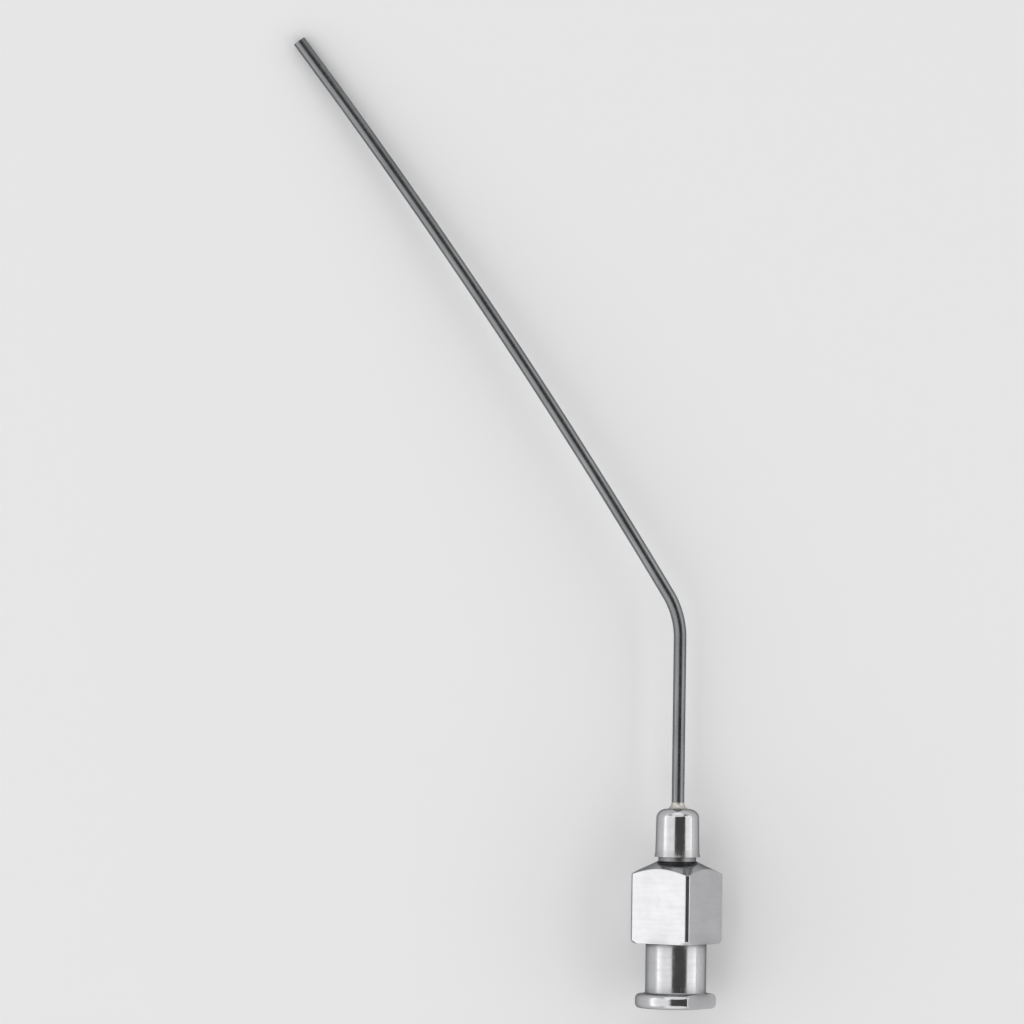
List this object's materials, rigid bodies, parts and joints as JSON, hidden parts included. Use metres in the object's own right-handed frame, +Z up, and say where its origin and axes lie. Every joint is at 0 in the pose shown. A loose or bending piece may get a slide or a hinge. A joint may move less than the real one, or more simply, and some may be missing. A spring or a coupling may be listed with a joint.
{
  "type": "angled suction tube",
  "caption": "Thin bent steel suction tube soldered into a turned hub with a square grip block, lock lugs and a tapered socket.",
  "frame": {"origin": "centre of the tapered socket's mouth, on the hub's axis", "axes": "+Y along the hub's axis towards the tube, -X the side that the tube bends to, +Z up as the piece lies at rest"},
  "size_m": [0.0416, 0.0917, 0.0088],
  "materials": {
    "tube_steel": "drawn stainless steel, polished along its length",
    "hub_plating": "bright plating over fine turning and milling marks",
    "silver_solder": "flowed silver solder, satin"
  },
  "bodies": {
    "root": {"suction_tube": "tube_steel", "lock_hub": "hub_plating", "solder_joint": "silver_solder"}
  },
  "joints": []
}
